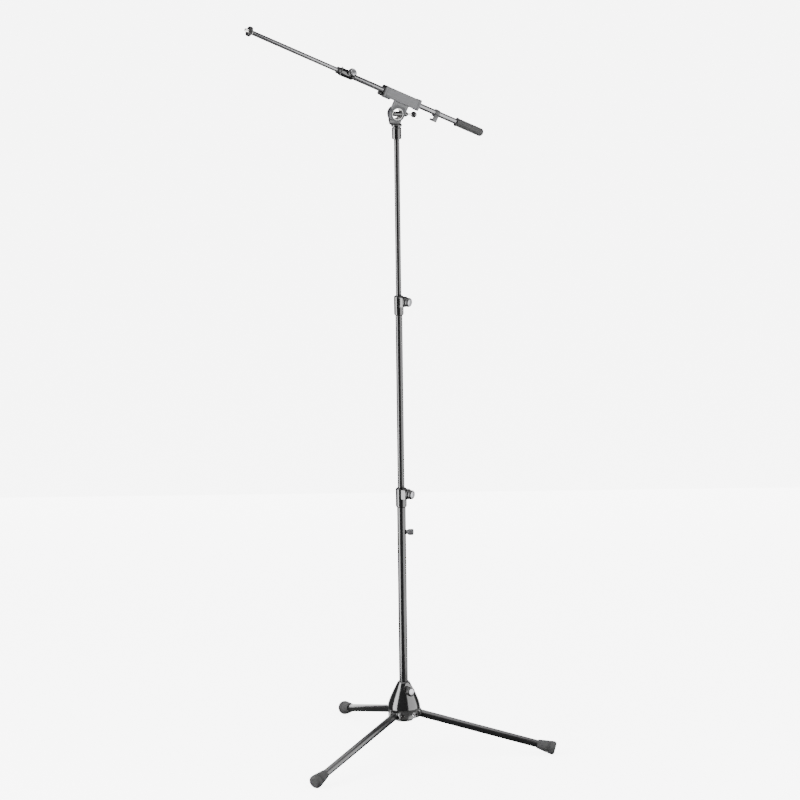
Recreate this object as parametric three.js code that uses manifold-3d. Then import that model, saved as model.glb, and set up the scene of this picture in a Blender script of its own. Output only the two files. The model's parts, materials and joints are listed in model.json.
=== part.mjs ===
// Boom microphone stand: folding tripod base, three-section column and telescopic boom.
// Units are millimetres. +Z is up, the boom points along +X and its tilt axis is +Y.

import * as THREE from 'three';
import { mergeVertices } from 'three/addons/utils/BufferGeometryUtils.js';
import Module from 'manifold-3d';

const wasm = await Module();
wasm.setup();

// ---------------------------------------------------------------- driving dimensions

const GAP = 0.3; // air left where two parts rest on each other
const FIT = 0.1; // radial clearance of a shaft in its hole
const WALL = 1.2; // wall of the steel tubes
const BORE_DEPTH = 36; // how far a tube enters the clamp on its end

const LOWER_TUBE = 12.5; // tube radii
const MIDDLE_TUBE = 10;
const UPPER_ROD = 8;
const BOOM_TUBE = 8;
const BOOM_INNER_TUBE = 6.5;
const LEG_TUBE = 11;

const LEG_ANGLES = [30, 150, 270]; // seen from above, counter-clockwise from the boom
const LEG_SLOPE = 14.41; // how far the legs drop below level
const LEG_PIVOT_RADIUS = 38;
const LEG_PIVOT_HEIGHT = 118.6;
const LEG_TUBE_START = 13; // along the leg, from its pivot
const LEG_TUBE_END = 396;
const FOOT_START = 354;
const FOOT_END = 408;

const BASE_BOTTOM = 108;
const BAND_TOP = 131;
const BELL_TOP = 210;
const BAND_RADIUS = 45;
const BASE_KNOB_ANGLE = 104;
const BASE_KNOB_HEIGHT = 185.4;
const KNOB_POCKET = 14; // radius of the round foot of the bell's recess for its knob
const BASE_BOSS = 25.3; // end of the screw boss, from the column's axis
const KNOB_POCKET_DEPTH = 18.5; // flat floor of that recess, from the column's axis
const EAR_NEAR = 12.4; // leg ears, from the leg's own plane
const EAR_FAR = 18.4;
const EAR_RADIUS = 11.5;
const PIN_RADIUS = 3;

const CABLE_HOOK_HEIGHT = 649;
const CABLE_HOOK_ANGLE = 150;
const CABLE_HOOK_SHANK = 2.7;
const LOWER_CLAMP_HEIGHT = 722;
const UPPER_CLAMP_HEIGHT = 1278;
const COLUMN_KNOB_ANGLE = 121;

const PIVOT_HEIGHT = 1852;
const SOCKET_BOTTOM = -71; // from the tilt pivot
const RING_RADIUS = 22;
const RING_HOLE = 16.5;
const RING_FRONT = 10.5; // front face of the sleeve's ring, along the tilt axis
const RING_SPLIT = -4; // where the two rings meet
const RING_BACK = -15; // back face of the socket's ring
const PIVOT_BORE = 15.2; // inside of the hollow pivot that holds the rings together

const BOOM_TILT = 26.3;
const BOOM_HEIGHT = 46; // boom axis above the tilt pivot
const SLEEVE_SIDE = 15; // half the side of its square section
const SLEEVE_BACK = -51; // places along the boom, from above the tilt pivot
const SLEEVE_FRONT = 65;
const SLEEVE_BUSH = 9.5; // outer radius of its two bushes
const PLUG_DROP = 11.3; // the plug's axis under the boom's
const PLUG_RADIUS = 6;
const BOOM_CLAMP_START = 168;
const BOOM_CLAMP_BORE = 8;
const BOOM_KNOB_ANGLE = 123;
const BOOM_HOOK = -114;
const HOOK_HALF = 6.5;
const GRIP_START = -184;
const GRIP_END = -271;
const STUD_START = 503;
const STUD_END = 526;

const HANDLE_PLANE = 3.3; // clamp screw in front of the column's axis
const HANDLE_DROP = 7; // its slope below level
const HANDLE_BARREL = 7;
const HANDLE_SHANK = 4;

// ---------------------------------------------------------------- materials

function finish(color, roughness, metalness) {
  return new THREE.MeshStandardMaterial({ color, roughness, metalness });
}

const glossCasting = () => finish(0x0d0d0e, 0.18, 0.2);
const satinCasting = () => finish(0x2c2d30, 0.38, 0.3);
const blackTube = () => finish(0x141416, 0.3, 0.4);
const boomSteel = () => finish(0x3a3a3e, 0.3, 0.5);
const blackPlastic = () => finish(0x121213, 0.4, 0);
const greyPlastic = () => finish(0x4a4a4c, 0.55, 0);
const rubber = () => finish(0x2b2b2c, 0.85, 0);
const nickel = () => finish(0xc8c8c6, 0.22, 1);
const zincSteel = () => finish(0x9a9a98, 0.35, 1);
const badgeMetal = () => finish(0xb8b8ba, 0.3, 0.9);

// ---------------------------------------------------------------- shapes

const radians = THREE.MathUtils.degToRad;

// A solid of revolution about Z. The profile holds [radius, height] pairs and goes up outside.
function turned(profile, sides = 28) {
  const points = profile.map(([radius, height]) => new THREE.Vector2(radius, height));
  return new THREE.LatheGeometry(points, sides).rotateX(Math.PI / 2);
}

function rod(radius, from, to, sides) {
  return turned([[0, from], [radius, from], [radius, to], [0, to]], sides);
}

function ring(inner, outer, from, to, sides) {
  return turned([[inner, from], [outer, from], [outer, to], [inner, to], [inner, from]], sides);
}

// Points of a quarter or half round, as [radius, height] pairs, ends included.
function arc(centreRadius, centreHeight, radius, fromDegrees, toDegrees, steps) {
  return Array.from({ length: steps + 1 }, (_, step) => {
    const angle = radians(fromDegrees + (toDegrees - fromDegrees) * (step / steps));
    const away = Math.max(0, centreRadius + radius * Math.cos(angle));
    return [away, centreHeight + radius * Math.sin(angle)];
  });
}

const alongX = (geometry) => geometry.rotateY(Math.PI / 2);
const alongY = (geometry) => geometry.rotateX(-Math.PI / 2);

function block([x0, x1], [y0, y1], [z0, z1]) {
  const box = new THREE.BoxGeometry(x1 - x0, y1 - y0, z1 - z0);
  return box.translate((x0 + x1) / 2, (y0 + y1) / 2, (z0 + z1) / 2);
}

function outline(points) {
  return new THREE.Shape(points.map(([x, y]) => new THREE.Vector2(x, y)));
}

function roundedSquare(half, corner) {
  const shape = new THREE.Shape();
  const inset = half - corner;
  shape.absarc(inset, inset, corner, 0, Math.PI / 2);
  shape.absarc(-inset, inset, corner, Math.PI / 2, Math.PI);
  shape.absarc(-inset, -inset, corner, Math.PI, 1.5 * Math.PI);
  shape.absarc(inset, -inset, corner, 1.5 * Math.PI, 2 * Math.PI);
  return shape;
}

function extruded(shape, from, to) {
  const options = { depth: to - from, bevelEnabled: false, curveSegments: 4 };
  return new THREE.ExtrudeGeometry(shape, options).translate(0, 0, from);
}

// ---------------------------------------------------------------- joining and cutting

function solid(geometry) {
  geometry.deleteAttribute('normal');
  geometry.deleteAttribute('uv');
  const merged = mergeVertices(geometry, 1e-4);
  const corners = merged.index.array;
  const triangles = [];
  for (let first = 0; first < corners.length; first += 3) {
    const [a, b, c] = corners.slice(first, first + 3);
    if (a !== b && b !== c && c !== a) triangles.push(a, b, c);
  }
  return new wasm.Manifold(new wasm.Mesh({
    numProp: 3,
    vertProperties: new Float32Array(merged.attributes.position.array),
    triVerts: new Uint32Array(triangles),
  }));
}

const asSolid = (shape) => (shape.isBufferGeometry ? solid(shape) : shape);
const joined = (...shapes) => shapes.map(asSolid).reduce((whole, piece) => whole.add(piece));
const cut = (body, ...tools) => tools.map(asSolid).reduce((left, tool) => left.subtract(tool), asSolid(body));

function geometryOf(manifold) {
  const result = manifold.getMesh();
  const geometry = new THREE.BufferGeometry();
  geometry.setAttribute('position', new THREE.BufferAttribute(result.vertProperties, 3));
  geometry.setIndex(new THREE.BufferAttribute(result.triVerts, 1));
  geometry.computeVertexNormals();
  return geometry;
}

function part(name, shape, material) {
  const geometry = shape.isBufferGeometry ? shape : geometryOf(shape);
  const mesh = new THREE.Mesh(geometry, material());
  mesh.name = name;
  return mesh;
}

function group(children, position = [0, 0, 0], rotation = [0, 0, 0]) {
  const holder = new THREE.Group();
  holder.add(...children);
  holder.position.set(...position);
  holder.rotation.set(...rotation.map(radians));
  return holder;
}

// ---------------------------------------------------------------- clamp knobs

const SCREW_RADIUS = 3;

// Half section of a knob from its foot, for its screw's bore and its badge's pocket.
function knobProfile(radius, length, pocket) {
  const bore = SCREW_RADIUS + FIT;
  const flat = length < 12;
  const depth = flat ? 4 : 8;
  const side = flat
    ? [[radius, length - 2.5], [radius - 1.5, length]]
    : [
      [radius, 5], [radius - 3, 6], [radius - 3, 7],
      [radius - 0.8, 9], [radius - 0.8, 14], [radius - 2.5, length],
    ];
  return [
    [0, depth], [bore, depth], [bore, 0], [radius - 1, 0], [radius, 1], ...side,
    [pocket, length], [pocket, length - 1.5], [0, length - 1.5],
  ];
}

// A knob along +X on its own screw. It starts at `start` and its screw at `screwFrom`.
function knobParts(name, { start, screwFrom, radius, badge, length = 17 }) {
  const knob = turned(knobProfile(radius, length, badge + GAP), 16);
  const screwEnd = start + (length < 12 ? 4 : 8) - GAP;
  const screw = rod(SCREW_RADIUS, screwFrom, screwEnd, 16);
  const disc = rod(badge, start + length - 1.5 + GAP, start + length + 0.2, 16);
  return [
    part(`${name}_knob`, alongX(knob.translate(0, 0, start)), blackPlastic),
    part(`${name}_screw`, alongX(screw), zincSteel),
    part(`${name}_badge`, alongX(disc), badgeMetal),
  ];
}

// ---------------------------------------------------------------- tube clamps

// The split collet of a clamp, shown closed. It stands proud of the housing by its flange.
function clampBush(tube, inner, boreDepth, length, flange) {
  return turned([
    [inner + FIT, boreDepth + GAP], [tube, boreDepth + GAP], [tube, length + GAP],
    [flange.radius, length + GAP], [flange.radius, length + flange.height],
    [inner + FIT, length + flange.height], [inner + FIT, boreDepth + GAP],
  ]);
}

// A clamp on the end of a column tube: it starts at height 0 and its knob points along +X.
function clampParts(name, { tube, inner, housing, flange, length, boss, knob }) {
  const bore = tube + FIT;
  const knobHeight = length - 14;
  const shell = turned([
    [0, 0], [housing - 2, 0], [housing, 3], [housing, length], [0, length],
  ]);
  const bossBlock = block([2, boss.reach], [-boss.half, boss.half], [length - 29, length - 1]);
  const body = cut(
    joined(shell, bossBlock),
    rod(bore, -1, length + 1),
    alongX(rod(SCREW_RADIUS + FIT, 0, boss.reach + 1, 16)).translate(0, 0, knobHeight),
  );
  const turning = knobParts(name, { start: boss.reach + GAP, screwFrom: bore + GAP, ...knob });
  return [
    part(`${name}_housing`, body, glossCasting),
    part(`${name}_bush`, clampBush(tube, inner, BORE_DEPTH, length, flange), blackPlastic),
    group(turning, [0, 0, knobHeight]),
  ];
}

// A plastic guide pressed in the bottom end of a sliding tube. The tube starts at height 0.
function tubeGuide(name, tube, outerBore) {
  const spigot = tube - WALL - FIT;
  const hole = spigot - 2;
  const guide = turned([
    [hole, -8], [outerBore - FIT, -8], [outerBore - FIT, -GAP], [spigot, -GAP],
    [spigot, 12], [hole, 12], [hole, -8],
  ], 16);
  return part(name, guide, blackPlastic);
}

// ---------------------------------------------------------------- tripod base

function bellProfile() {
  const curve = new THREE.SplineCurve([
    new THREE.Vector2(46.5, BAND_TOP + 2), new THREE.Vector2(46, 141), new THREE.Vector2(40.5, 159),
    new THREE.Vector2(32.5, 178), new THREE.Vector2(25, 193), new THREE.Vector2(18, BELL_TOP - 2),
  ]);
  return [
    [42, BASE_BOTTOM], [BAND_RADIUS, BASE_BOTTOM], [BAND_RADIUS, BAND_TOP],
    ...curve.getPoints(6).map(({ x, y }) => [x, y]),
    [16, BELL_TOP], [LOWER_TUBE + FIT, BELL_TOP], [LOWER_TUBE + FIT, 172],
    [27, 172], [37, 152], [42, BAND_TOP], [42, BASE_BOTTOM],
  ];
}

// Recess in the bell for its knob: round at the foot, flaring and open at the top.
function knobRecess() {
  const half = Array.from({ length: 9 }, (_, step) => {
    const angle = radians(180 + 22.5 * step);
    return [KNOB_POCKET * Math.cos(angle), BASE_KNOB_HEIGHT + KNOB_POCKET * Math.sin(angle)];
  });
  const shape = outline([...half, [17.5, BELL_TOP + 5], [-17.5, BELL_TOP + 5]]);
  return extruded(shape, KNOB_POCKET_DEPTH, 60).rotateX(Math.PI / 2).rotateZ(Math.PI / 2);
}

function baseBell() {
  const towardsKnob = radians(BASE_KNOB_ANGLE);
  const sideways = (geometry, height) => alongX(geometry).translate(0, 0, height).rotateZ(towardsKnob);
  const ears = [];
  const slots = [];
  for (const angle of LEG_ANGLES) {
    const turn = radians(angle);
    for (const [near, far] of [[-EAR_FAR, -EAR_NEAR], [EAR_NEAR, EAR_FAR]]) {
      const disc = alongY(rod(EAR_RADIUS, near, far, 16)).translate(LEG_PIVOT_RADIUS, 0, LEG_PIVOT_HEIGHT);
      ears.push(disc.rotateZ(turn), block([30, 43], [near, far], [LEG_PIVOT_HEIGHT, 136]).rotateZ(turn));
    }
    slots.push(block([24, 60], [-EAR_NEAR, EAR_NEAR], [100, BAND_TOP]).rotateZ(turn));
    const pinHole = alongY(rod(PIN_RADIUS + FIT, -30, 30, 16));
    slots.push(pinHole.translate(LEG_PIVOT_RADIUS, 0, LEG_PIVOT_HEIGHT).rotateZ(turn));
  }
  const shell = cut(turned(bellProfile(), 36), knobRecess().rotateZ(towardsKnob));
  const boss = sideways(rod(9.5, 16, BASE_BOSS, 20), BASE_KNOB_HEIGHT);
  const screwHole = sideways(rod(SCREW_RADIUS + FIT, 5, 40, 16), BASE_KNOB_HEIGHT);
  const bandHole = sideways(rod(3, 35, 50, 12), BASE_BOTTOM + 10);
  return part('base_bell', cut(joined(shell, boss, ...ears), screwHole, bandHole, ...slots), glossCasting);
}

function legKnuckle(name) {
  const hinge = alongY(rod(10.8, -10.8, 10.8, 20));
  const shoulder = alongX(rod(10.8, 2, LEG_TUBE_START - GAP, 20));
  const spigot = alongX(rod(LEG_TUBE - WALL - 2 * FIT, 10, 36, 20));
  const pinHole = alongY(rod(PIN_RADIUS + FIT, -15, 15, 16));
  return part(name, cut(joined(hinge, shoulder, spigot), pinHole), blackPlastic);
}

// A moulded rubber foot, cut flat where it stands on the floor.
function rubberFoot(name) {
  const bore = LEG_TUBE + FIT;
  const cone = turned([
    [0, LEG_TUBE_END + GAP], [bore, LEG_TUBE_END + GAP], [bore, FOOT_START],
    [13, FOOT_START], [20, 397], ...arc(12, 400, 8, 0, 90, 4), [0, FOOT_END],
  ], 24);
  const floor = block([300, 460], [-30, 30], [-LEG_PIVOT_HEIGHT - 20, -LEG_PIVOT_HEIGHT]);
  return part(name, cut(alongX(cone), floor.rotateY(-radians(LEG_SLOPE))), rubber);
}

function legParts(number) {
  const tube = alongX(ring(LEG_TUBE - WALL, LEG_TUBE, LEG_TUBE_START, LEG_TUBE_END));
  return [
    part(`leg_pin_${number}`, alongY(rod(PIN_RADIUS, -18, 18, 16)), zincSteel),
    legKnuckle(`leg_knuckle_${number}`),
    part(`leg_tube_${number}`, tube, blackTube),
    rubberFoot(`rubber_foot_${number}`),
  ];
}

function base() {
  const knob = { start: BASE_BOSS + GAP, screwFrom: LOWER_TUBE + GAP, radius: 12.7, badge: 8.8, length: 11 };
  const legs = LEG_ANGLES.map((angle, index) => {
    const leg = group(legParts(index + 1), [LEG_PIVOT_RADIUS, 0, LEG_PIVOT_HEIGHT], [0, LEG_SLOPE, 0]);
    return group([leg], [0, 0, 0], [0, 0, angle]);
  });
  const turning = group(knobParts('base_clamp', knob), [0, 0, BASE_KNOB_HEIGHT], [0, 0, BASE_KNOB_ANGLE]);
  return group([baseBell(), turning, ...legs]);
}

// ---------------------------------------------------------------- column

function columnFoot() {
  const spigot = LOWER_TUBE - WALL - FIT;
  const cone = turned([
    [0, 96], [25, 96], [26, 97], [26, 101], [21, 110], [spigot, 110], [spigot, 130], [0, 130],
  ], 20);
  return part('column_foot', cone, blackPlastic);
}

// Cable holder along +X: its shank is riveted in a hole of the lower tube.
function cableHook() {
  const root = LOWER_TUBE - WALL + FIT;
  const shape = turned([
    [0, root], [CABLE_HOOK_SHANK, root], [CABLE_HOOK_SHANK, 12], [6.2, 12], [6.2, 17],
    [9, 19.5], [9, 31], [6.5, 34], [0, 34],
  ], 20);
  const saddle = cut(rod(LOWER_TUBE + FIT, -12, 12), alongX(rod(CABLE_HOOK_SHANK, 5, 20, 20)));
  return part('cable_hook', cut(alongX(shape), saddle), greyPlastic);
}

function lowerTube(top) {
  const hole = alongX(rod(CABLE_HOOK_SHANK + FIT, 5, 20, 20)).translate(0, 0, CABLE_HOOK_HEIGHT);
  const tube = ring(LOWER_TUBE - WALL, LOWER_TUBE, 110 + GAP, top);
  return part('lower_tube', cut(tube, hole.rotateZ(radians(CABLE_HOOK_ANGLE))), blackTube);
}

function column() {
  const lowerTop = LOWER_CLAMP_HEIGHT + BORE_DEPTH;
  const middleTop = UPPER_CLAMP_HEIGHT + BORE_DEPTH;
  const rodTop = PIVOT_HEIGHT + SOCKET_BOTTOM + 28;
  const middleBottom = 650;
  const rodBottom = 1195;
  const lowerClamp = clampParts('lower_clamp', {
    tube: LOWER_TUBE, inner: MIDDLE_TUBE, housing: 15.8, length: 54, flange: { radius: 13.5, height: 1.6 },
    boss: { reach: 22.5, half: 13 }, knob: { radius: 14, badge: 9.5 },
  });
  const upperClamp = clampParts('upper_clamp', {
    tube: MIDDLE_TUBE, inner: UPPER_ROD, housing: 13.8, length: 54, flange: { radius: 11.5, height: 1.6 },
    boss: { reach: 21, half: 11.5 }, knob: { radius: 14, badge: 9.5 },
  });
  return group([
    columnFoot(),
    lowerTube(lowerTop),
    group([cableHook()], [0, 0, CABLE_HOOK_HEIGHT], [0, 0, CABLE_HOOK_ANGLE]),
    group(lowerClamp, [0, 0, LOWER_CLAMP_HEIGHT], [0, 0, COLUMN_KNOB_ANGLE]),
    group([tubeGuide('middle_guide', MIDDLE_TUBE, LOWER_TUBE - WALL)], [0, 0, middleBottom]),
    part('middle_tube', ring(MIDDLE_TUBE - WALL, MIDDLE_TUBE, middleBottom, middleTop), blackTube),
    group(upperClamp, [0, 0, UPPER_CLAMP_HEIGHT], [0, 0, COLUMN_KNOB_ANGLE]),
    group([tubeGuide('upper_guide', UPPER_ROD, MIDDLE_TUBE - WALL)], [0, 0, rodBottom]),
    part('upper_rod', ring(UPPER_ROD - WALL, UPPER_ROD, rodBottom, rodTop), blackTube),
  ]);
}

// ---------------------------------------------------------------- tilt swivel

// Puts a shape built along X on the clamp screw's axis, in the frame of the column.
const onHandle = (shape) => shape.rotateY(Math.PI - radians(HANDLE_DROP)).translate(0, HANDLE_PLANE, 0);

function swivelSocket() {
  const near = RING_SPLIT - GAP / 2;
  const ringShape = alongY(ring(RING_HOLE, RING_RADIUS, RING_BACK, near, 32));
  const yokeOutline = outline([[-14, -31], [14, -31], [20.5, -8], [-20.5, -8]]);
  const yoke = extruded(yokeOutline, -near, -RING_BACK).rotateX(Math.PI / 2);
  const bore = UPPER_ROD + FIT;
  const socket = turned([
    [0, -42], [bore, -42], [bore, SOCKET_BOTTOM], [13, SOCKET_BOTTOM], [13.5, -69], [13.5, -41],
    [12.3, -39.5], [12.3, -37], [15.5, -35], [15.5, -30], [12, -27.3], [0, -27.3],
  ]);
  const opening = alongY(rod(RING_HOLE, RING_BACK - 1, near + 1, 32));
  return part('swivel_socket', joined(cut(joined(ringShape, yoke), opening), socket), glossCasting);
}

// The sleeve's pieces are drawn in the boom's frame, where the screw's slope adds to the boom's.
const inBoomFrame = (shape) => onHandle(shape).rotateY(radians(BOOM_TILT));
const lifted = (geometry, height = BOOM_HEIGHT) => alongX(geometry).translate(0, 0, height);

function boomSleeve() {
  const near = RING_SPLIT + GAP / 2;
  const neck = block([-22, 22], [near, RING_FRONT], [8, BOOM_HEIGHT - SLEEVE_SIDE + 2]);
  const ringShape = alongY(rod(RING_RADIUS, near, RING_FRONT, 32));
  const body = extruded(roundedSquare(SLEEVE_SIDE, 4.5), SLEEVE_BACK, SLEEVE_FRONT);
  const endBand = extruded(roundedSquare(SLEEVE_SIDE + 1.2, 5), SLEEVE_BACK, SLEEVE_BACK + 5);
  const channel = lifted(rod(PLUG_RADIUS + 1.6, 38, SLEEVE_FRONT - 2, 20), BOOM_HEIGHT - PLUG_DROP);
  return part('boom_sleeve', cut(
    joined(ringShape, neck, lifted(body), lifted(endBand), channel),
    alongY(rod(RING_HOLE, near - 1, RING_FRONT + 1, 32)),
    lifted(rod(SLEEVE_BUSH + FIT, SLEEVE_BACK - 5, SLEEVE_FRONT + 5)),
    lifted(rod(PLUG_RADIUS + GAP, 50, SLEEVE_FRONT + 5, 20), BOOM_HEIGHT - PLUG_DROP),
    block([-45, -32], [-6, 6], [30, 33.5]),
    inBoomFrame(alongX(rod(HANDLE_SHANK + FIT, 12, 26, 16))),
    inBoomFrame(alongX(rod(HANDLE_BARREL + GAP, 22.6 - GAP, 40, 20))),
  ), satinCasting);
}

// Hollow pivot: a tube through both rings, with a flange behind the socket's ring.
function hollowPivot() {
  const outer = RING_HOLE - FIT;
  const back = RING_BACK - GAP;
  const tube = alongY(turned([
    [PIVOT_BORE, back - 1.5], [20, back - 1.5], [20, back], [outer, back],
    [outer, RING_FRONT - GAP], [PIVOT_BORE, RING_FRONT - GAP], [PIVOT_BORE, back - 1.5],
  ], 32));
  const screwHole = inBoomFrame(alongX(rod(HANDLE_SHANK + FIT, 5, 26, 16)));
  return part('hollow_pivot', cut(tube, screwHole), zincSteel);
}

// The clamp screw across the hollow pivot: a cross barrel inside it, then shank, hub, rod and ball.
function clampScrew() {
  const barrel = cut(
    turned([[0, -12], [6.2, -12], [HANDLE_BARREL, -11], [HANDLE_BARREL, 12], [6.2, 13], [0, 13]], 20),
    rod(HANDLE_SHANK + FIT, -9, 14, 16),
  );
  const shank = rod(HANDLE_SHANK, -8.5, 26 - GAP, 16);
  const hub = turned([
    [0, 26], [HANDLE_SHANK + FIT, 26], [HANDLE_SHANK + FIT, 22.6], [6.4, 22.6], [HANDLE_BARREL, 23.4],
    [HANDLE_BARREL, 29], [4.6, 33.5], [2.9, 33.5], [2.9, 30], [0, 30],
  ], 20);
  const ball = turned([[0, 46], [2.9, 46], [2.9, 43.8], ...arc(0, 52, 8.7, -70.5, 90, 6)], 20);
  const drawn = (name, shape, material) => part(name, inBoomFrame(alongX(shape)), material);
  return [
    drawn('handle_barrel', geometryOf(barrel), glossCasting),
    drawn('handle_shank', shank, zincSteel),
    drawn('handle_hub', hub, glossCasting),
    drawn('handle_rod', rod(2.8, 30 + GAP, 46 - GAP, 12), nickel),
    drawn('handle_ball', ball, blackPlastic),
  ];
}

// ---------------------------------------------------------------- boom, built along Z

// Cable clip under the boom: a band round the tube over a block with a slot open at the back.
function boomHook() {
  const band = ring(BOOM_TUBE + FIT, BOOM_TUBE + 2.4, -HOOK_HALF, HOOK_HALF, 32);
  const hook = extruded(outline([
    [4, 9], [22, 9], [25, 6], [25, -9], [22, -12],
    [18.6, -12], [18.6, 2.5], [11.4, 2.5], [11.4, -12], [4, -9.4],
  ]), -HOOK_HALF, HOOK_HALF);
  return part('boom_hook', cut(joined(band, hook), rod(BOOM_TUBE + FIT, -10, 10)), greyPlastic);
}

function grip() {
  const bore = BOOM_TUBE + FIT;
  const inside = GRIP_END + 9 - GAP;
  const radius = 11.75;
  const round = 5;
  return part('boom_grip', turned([
    [0, GRIP_END], ...arc(radius - round, GRIP_END + round, round, -90, 0, 3),
    [radius, GRIP_START], [bore, GRIP_START], [bore, inside], [0, inside],
  ], 22), rubber);
}

function threadStud() {
  const spigot = BOOM_INNER_TUBE - WALL - FIT;
  const shoulder = STUD_START + 3;
  const thread = 4.7;
  return part('thread_stud', turned([
    [0, STUD_START - 20], [spigot, STUD_START - 20], [spigot, STUD_START + GAP], [7.5, STUD_START + GAP],
    [7.5, shoulder], [thread, shoulder], [thread, STUD_END],
    [2.4, STUD_END], [2.4, STUD_END - 9], [0, STUD_END - 9],
  ], 20), nickel);
}

function lockRing() {
  const start = STUD_START + 3.5;
  const bore = 4.7 + FIT;
  return part('lock_ring', turned([
    [bore, start], [12.5, start], [14.5, start + 1.5], [14.5, start + 8.5], [13, start + 10],
    [bore, start + 10], [bore, start],
  ], 24), blackPlastic);
}

// The boom's clamp, from its foot: a flat knob low on its side and a small stud near its top.
function boomClamp() {
  const length = 43;
  const knobHeight = 12.5;
  const bossEnd = 12;
  const housing = 11.5;
  const bore = BOOM_TUBE + FIT;
  const shell = turned([
    [0, 0], [housing - 2, 0], [housing, 2.5], [housing, length], [0, length],
  ]);
  const boss = alongX(rod(9, 2, bossEnd, 20)).translate(0, 0, knobHeight);
  const stud = alongX(rod(2.2, 9, 14.3, 12)).translate(0, 0, length - 2.6).rotateZ(radians(57));
  const screwHole = alongX(rod(SCREW_RADIUS + FIT, 0, 20, 16)).translate(0, 0, knobHeight);
  const body = cut(joined(shell, boss, stud), rod(bore, -1, length + 1), screwHole);
  const bush = clampBush(BOOM_TUBE, BOOM_INNER_TUBE, BOOM_CLAMP_BORE, length, { radius: 10, height: 10 });
  const knob = { start: bossEnd + GAP, screwFrom: bore + GAP, radius: 13, badge: 9, length: 9.5 };
  return [
    part('boom_clamp_housing', body, glossCasting),
    part('boom_clamp_bush', bush, blackPlastic),
    group(knobParts('boom_clamp', knob), [0, 0, knobHeight]),
  ];
}

function boom() {
  const tubeTop = BOOM_CLAMP_START + BOOM_CLAMP_BORE;
  const innerBottom = 40;
  const innerTube = ring(BOOM_INNER_TUBE - WALL, BOOM_INNER_TUBE, innerBottom, STUD_START);
  return [
    part('boom_tube', ring(BOOM_TUBE - WALL, BOOM_TUBE, GRIP_END + 9, tubeTop), boomSteel),
    group(boomClamp(), [0, 0, BOOM_CLAMP_START], [0, 0, BOOM_KNOB_ANGLE]),
    group([tubeGuide('boom_guide', BOOM_INNER_TUBE, BOOM_TUBE - WALL)], [0, 0, innerBottom]),
    part('boom_inner_tube', innerTube, boomSteel),
    threadStud(),
    lockRing(),
    group([boomHook()], [0, 0, BOOM_HOOK]),
    part('grip_collar', ring(BOOM_TUBE + FIT, 13, GRIP_START + GAP, GRIP_START + 4), blackPlastic),
    grip(),
  ];
}

function sleeveBushes() {
  const inner = BOOM_TUBE + FIT;
  const capStart = SLEEVE_FRONT + GAP;
  const capEnd = SLEEVE_FRONT + 1.8;
  const cap = extruded(roundedSquare(SLEEVE_SIDE - 0.7, 4.2), capStart, capEnd);
  const plugRoom = rod(PLUG_RADIUS + GAP, capStart - 1, capEnd + 1, 20).translate(PLUG_DROP, 0, 0);
  const front = cut(
    joined(rod(SLEEVE_BUSH, 34, capEnd), cut(cap, plugRoom)),
    rod(inner, 30, capEnd + 1),
  );
  return [
    part('sleeve_bush_front', front, blackPlastic),
    part('sleeve_bush_rear', ring(inner, SLEEVE_BUSH, SLEEVE_BACK + 0.5, -34), blackPlastic),
  ];
}

// A round plug in the sleeve's front end, hollowed to clear the boom and its bush.
function sleevePlug() {
  const end = 80;
  const round = turned([
    [0, 50.5], [PLUG_RADIUS, 50.5], [PLUG_RADIUS, end - 6], ...arc(0, end - 6, PLUG_RADIUS, 0, 90, 3),
  ], 20);
  const plug = cut(
    lifted(round, BOOM_HEIGHT - PLUG_DROP),
    lifted(rod(SLEEVE_BUSH + GAP, 40, SLEEVE_FRONT + 2.2)),
    lifted(rod(BOOM_TUBE + 0.5, 60, end + 10)),
  );
  return part('sleeve_plug', plug, blackPlastic);
}

function head() {
  const alongBoom = group([...boom(), ...sleeveBushes()], [0, 0, BOOM_HEIGHT], [0, 90, 0]);
  const tilting = [boomSleeve(), hollowPivot(), sleevePlug(), ...clampScrew(), alongBoom];
  return group([swivelSocket(), group(tilting, [0, 0, 0], [0, -BOOM_TILT, 0])], [0, 0, PIVOT_HEIGHT]);
}

// ---------------------------------------------------------------- assembly

const stand = group([base(), column(), head()]);
const bounds = new THREE.Box3().setFromObject(stand, true);
const middle = bounds.getCenter(new THREE.Vector3());
stand.position.set(-middle.x, -middle.y, -bounds.min.z);

export default stand;
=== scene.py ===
"""Looks of a boom microphone stand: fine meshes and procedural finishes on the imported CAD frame.

Local drawings are in millimetres, as in the CAD part; places come from the frame, in metres.
"""

import json
import math

import bmesh
import bpy
from mathutils import Matrix, Vector


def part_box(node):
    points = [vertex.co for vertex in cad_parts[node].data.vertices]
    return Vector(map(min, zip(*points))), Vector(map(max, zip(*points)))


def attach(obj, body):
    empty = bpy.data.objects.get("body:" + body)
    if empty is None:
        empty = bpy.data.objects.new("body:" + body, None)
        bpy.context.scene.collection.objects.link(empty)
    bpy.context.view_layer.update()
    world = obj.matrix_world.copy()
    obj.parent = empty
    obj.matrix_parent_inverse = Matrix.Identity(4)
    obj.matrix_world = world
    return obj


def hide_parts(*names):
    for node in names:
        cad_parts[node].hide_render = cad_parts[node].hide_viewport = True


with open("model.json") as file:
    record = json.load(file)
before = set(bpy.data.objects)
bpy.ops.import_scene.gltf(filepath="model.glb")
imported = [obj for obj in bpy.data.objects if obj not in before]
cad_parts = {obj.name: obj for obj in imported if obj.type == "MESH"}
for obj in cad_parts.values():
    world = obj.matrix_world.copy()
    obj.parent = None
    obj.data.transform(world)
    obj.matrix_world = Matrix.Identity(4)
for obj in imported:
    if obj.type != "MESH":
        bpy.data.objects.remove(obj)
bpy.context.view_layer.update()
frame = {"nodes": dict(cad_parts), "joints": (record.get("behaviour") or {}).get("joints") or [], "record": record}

MM = 0.001
FIT = 0.1  # clearance of one piece inside another
WALL = 1.2  # wall of every tube
ROUND = 96  # sides of a fine round

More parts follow.
